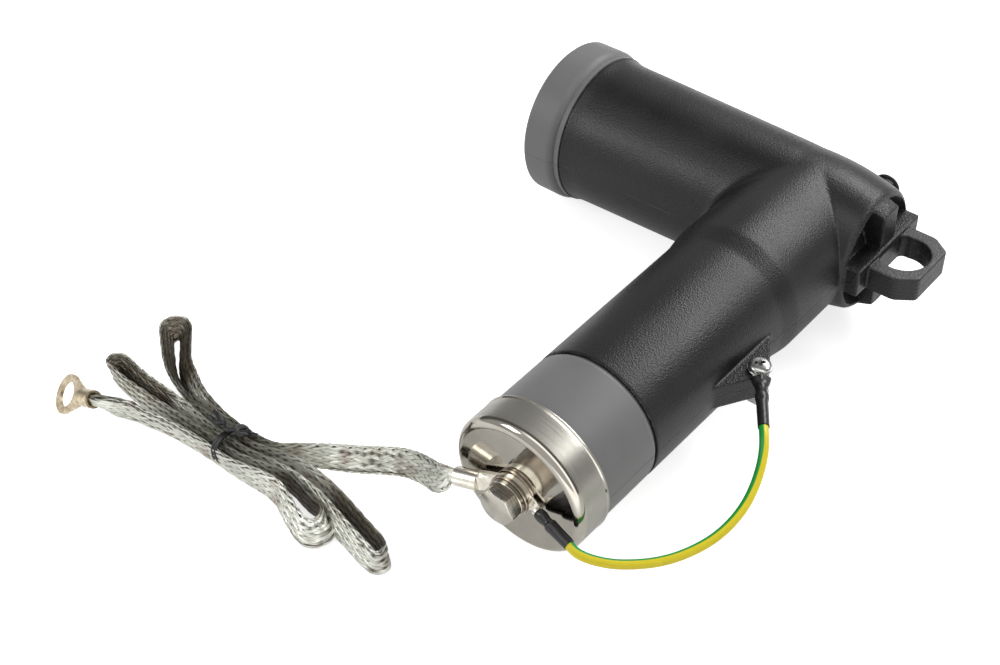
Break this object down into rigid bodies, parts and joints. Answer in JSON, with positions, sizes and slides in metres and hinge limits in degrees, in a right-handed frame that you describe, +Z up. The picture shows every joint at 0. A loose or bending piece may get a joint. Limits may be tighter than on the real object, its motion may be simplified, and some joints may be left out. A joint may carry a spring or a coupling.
{
  "type": "elbow surge arrester",
  "caption": "Rubber elbow with a bushing socket, an arrester leg closed by a steel cap, a pulling eye, a braided earth lead folded into a hank and a striped drain wire.",
  "frame": {"origin": "middle of the elbow's box, without its cords, on the surface that it lies on", "axes": "-X along the bushing leg towards the mouth of its socket, -Y along the arrester leg towards the earth bolt, +Z up"},
  "size_m": [0.3121, 0.3444, 0.082],
  "materials": {
    "black_rubber": "moulded, fine grain, satin",
    "grey_rubber": "moulded, smooth satin",
    "conductive_rubber": "smooth matte",
    "stainless": "deep drawn, brushed side, polished face",
    "bolt_steel": "machined, bright",
    "zinc_steel": "zinc plated, bright",
    "spring_steel": "oiled",
    "aluminium_part": "turned",
    "tinned_lug": "tin plated, satin",
    "tinned_braid": "braided tinned copper",
    "probe_metal": "silver plated copper",
    "arc_plastic": "moulded",
    "varistor_ceramic": "glazed rim",
    "glass_fibre": "resin bonded wrap",
    "wire_cover": "yellow with a green stripe",
    "shrink_plastic": "heat shrunk",
    "tie_plastic": "twisted"
  },
  "bodies": {
    "root": {"jacket": "black_rubber", "insulating_body": "grey_rubber", "inner_shield": "conductive_rubber", "eye_insert": "zinc_steel", "top_connector": "aluminium_part", "contact_probe": "probe_metal", "arc_follower": "arc_plastic", "contact_spring": "spring_steel", "top_electrode": "aluminium_part", "varistor_1": "varistor_ceramic", "varistor_2": "varistor_ceramic", "varistor_3": "varistor_ceramic", "varistor_4": "varistor_ceramic", "varistor_5": "varistor_ceramic", "varistor_6": "varistor_ceramic", "contact_plate": "aluminium_part", "stack_spring": "spring_steel", "bottom_electrode": "aluminium_part", "glass_wrap": "glass_fibre", "end_cap": "stainless", "seat_washer": "bolt_steel", "head_washer": "bolt_steel", "spring_washer": "bolt_steel", "earth_bolt": "bolt_steel", "braid_lug_near": "tinned_lug", "braid_lug_far": "tinned_lug", "braid_lead": "tinned_braid", "braid_hank": "tinned_braid", "braid_tail": "tinned_braid", "hank_tie": "tie_plastic", "drain_lug_cap": "tinned_lug", "drain_lug_tab": "tinned_lug", "shrink_cap": "shrink_plastic", "shrink_tab": "shrink_plastic", "drain_wire": "wire_cover", "tab_screw": "zinc_steel", "tab_washer": "zinc_steel", "tab_nut": "zinc_steel", "test_stud": "probe_metal", "test_cap": "black_rubber"}
  },
  "joints": []
}
